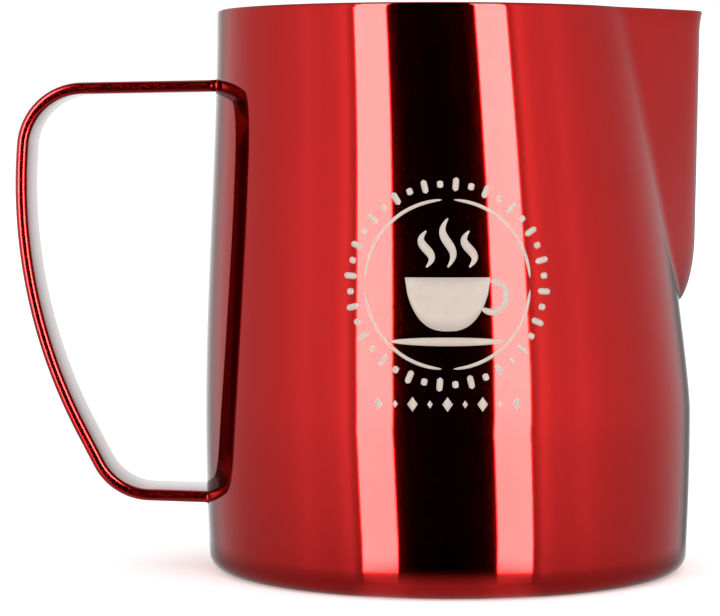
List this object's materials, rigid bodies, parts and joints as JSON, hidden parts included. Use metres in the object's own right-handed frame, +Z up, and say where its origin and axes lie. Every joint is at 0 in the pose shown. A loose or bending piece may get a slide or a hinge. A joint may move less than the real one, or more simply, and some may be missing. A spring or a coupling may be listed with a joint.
{
  "type": "milk frothing pitcher",
  "caption": "Open metal jug with a leaning front wall, a V-shaped pouring spout and a bent strap handle welded to its back.",
  "frame": {"origin": "centre of the foot ring's flat face, on the axis of the cup's round base", "axes": "+Z up, towards the rim; +X towards the spout's lip; the handle is on -X; the jug is symmetric about the XZ plane"},
  "size_m": [0.1299, 0.0924, 0.106],
  "materials": {
    "coated_steel": "mirror-polished stainless steel with a transparent red coating",
    "coated_weld": "dressed weld under the same red coating",
    "emblem_print": "matt cream print on the coating"
  },
  "bodies": {
    "root": {"pitcher_body": "coated_steel", "handle_strap": "coated_steel", "upper_weld": "coated_weld", "lower_weld": "coated_weld"}
  },
  "joints": []
}
